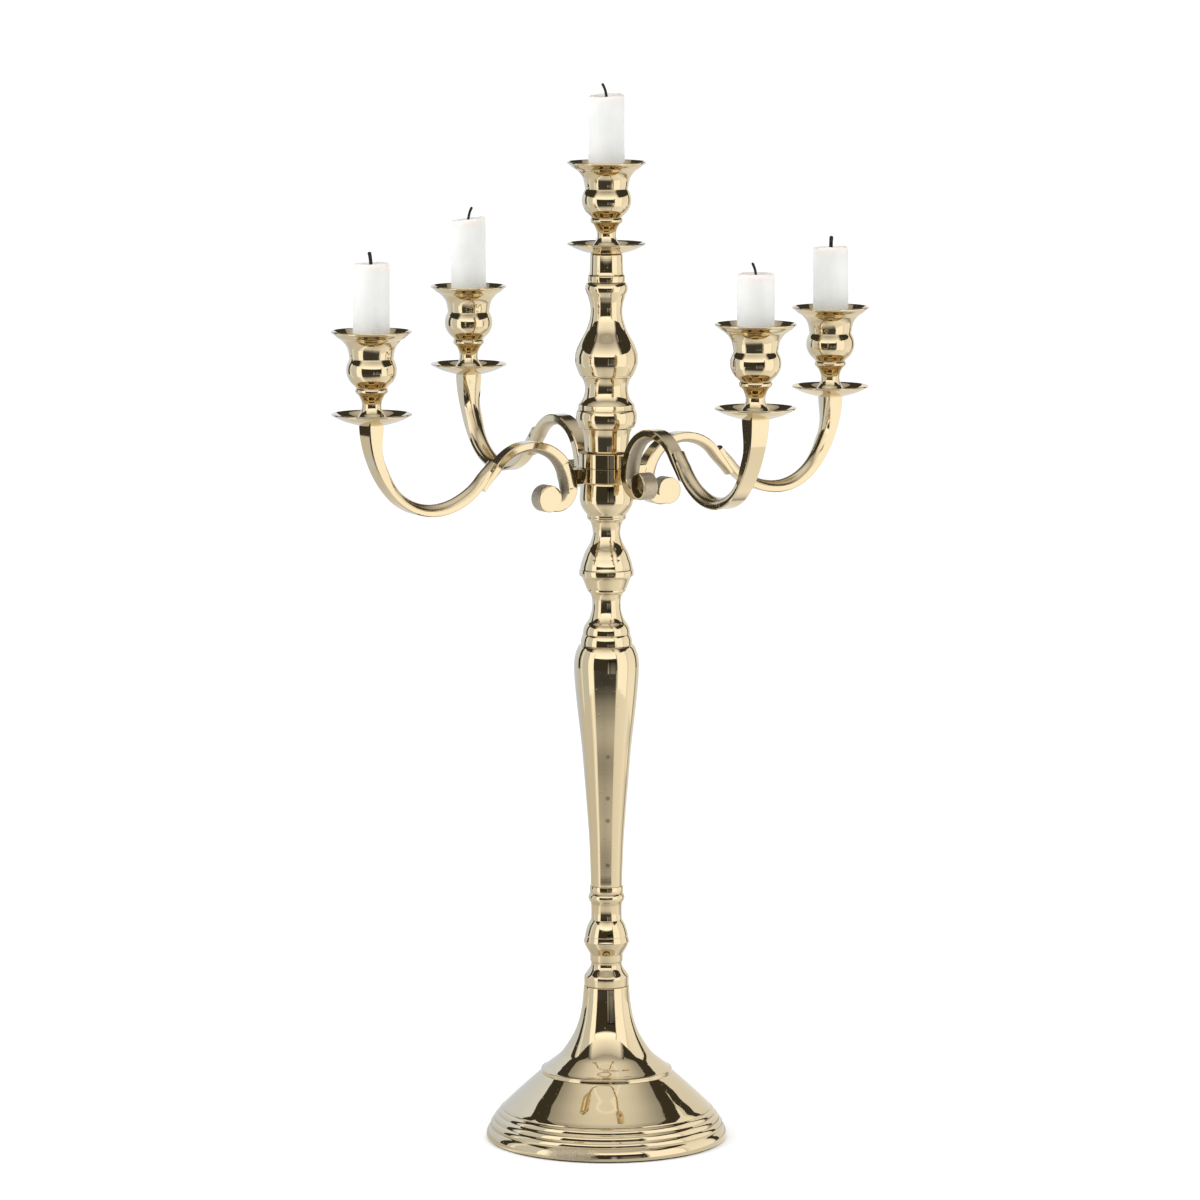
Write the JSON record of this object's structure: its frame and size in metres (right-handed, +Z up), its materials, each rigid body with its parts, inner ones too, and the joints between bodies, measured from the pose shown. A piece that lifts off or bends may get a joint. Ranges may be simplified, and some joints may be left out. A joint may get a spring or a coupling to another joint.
{
  "type": "tabletop candelabra",
  "caption": "Tabletop candelabra with a turned stem on a bell foot, crossed pairs of scroll arms, drip pans, flared candle cups and plain candles.",
  "frame": {"origin": "centre of the foot's underside, on the table", "axes": "+Z up along the stem; the lower pair of arms lies along X and the upper pair along Y"},
  "size_m": [0.3748, 0.3748, 0.6475],
  "materials": {
    "plated_metal": "pale gold plated, polished, with rough cast undersides",
    "steel": "zinc plated",
    "wax": "smooth white wax",
    "wick": "burnt cotton",
    "felt": "dark felt"
  },
  "bodies": {
    "stand": {"base_foot": "plated_metal", "base_felt": "felt", "base_washer": "steel", "base_nut": "steel", "lower_rod": "steel", "lower_stem": "plated_metal", "baluster": "plated_metal", "upper_knop": "plated_metal", "hub_bowl": "plated_metal", "hub_rod": "steel", "hub_sleeve": "steel", "bell_section": "plated_metal", "vase_section": "plated_metal", "top_tube": "plated_metal", "top_rod": "steel", "drip_pan_middle": "plated_metal", "candle_cup_middle": "plated_metal"},
    "lower_arms": {"lower_arm_pair": "plated_metal", "drip_pan_left": "plated_metal", "candle_cup_left": "plated_metal", "cup_screw_left": "steel", "drip_pan_right": "plated_metal", "candle_cup_right": "plated_metal", "cup_screw_right": "steel"},
    "upper_arms": {"upper_arm_pair": "plated_metal", "drip_pan_front": "plated_metal", "candle_cup_front": "plated_metal", "cup_screw_front": "steel", "drip_pan_back": "plated_metal", "candle_cup_back": "plated_metal", "cup_screw_back": "steel"},
    "candle_body_middle": {"candle_middle": "wax", "wick_middle": "wick"},
    "candle_body_left": {"candle_left": "wax", "wick_left": "wick"},
    "candle_body_right": {"candle_right": "wax", "wick_right": "wick"},
    "candle_body_front": {"candle_front": "wax", "wick_front": "wick"},
    "candle_body_back": {"candle_back": "wax", "wick_back": "wick"}
  },
  "joints": [
    {"name": "lower_arms_turn", "type": "hinge", "parent": "stand", "child": "lower_arms", "pos_m": [0, 0, 0.4104], "axis": [0, 0, 1], "continuous": true},
    {"name": "upper_arms_turn", "type": "hinge", "parent": "lower_arms", "child": "upper_arms", "pos_m": [0, 0, 0.4193], "axis": [0, 0, 1], "range_deg": [-60, 60]},
    {"name": "candle_lift_middle", "type": "slide", "parent": "stand", "child": "candle_body_middle", "axis": [0, 0, 1], "range_m": [0, 0.045]},
    {"name": "candle_lift_left", "type": "slide", "parent": "lower_arms", "child": "candle_body_left", "axis": [0, 0, 1], "range_m": [0, 0.045]},
    {"name": "candle_lift_right", "type": "slide", "parent": "lower_arms", "child": "candle_body_right", "axis": [0, 0, 1], "range_m": [0, 0.045]},
    {"name": "candle_lift_front", "type": "slide", "parent": "upper_arms", "child": "candle_body_front", "axis": [0, 0, 1], "range_m": [0, 0.045]},
    {"name": "candle_lift_back", "type": "slide", "parent": "upper_arms", "child": "candle_body_back", "axis": [0, 0, 1], "range_m": [0, 0.045]}
  ]
}
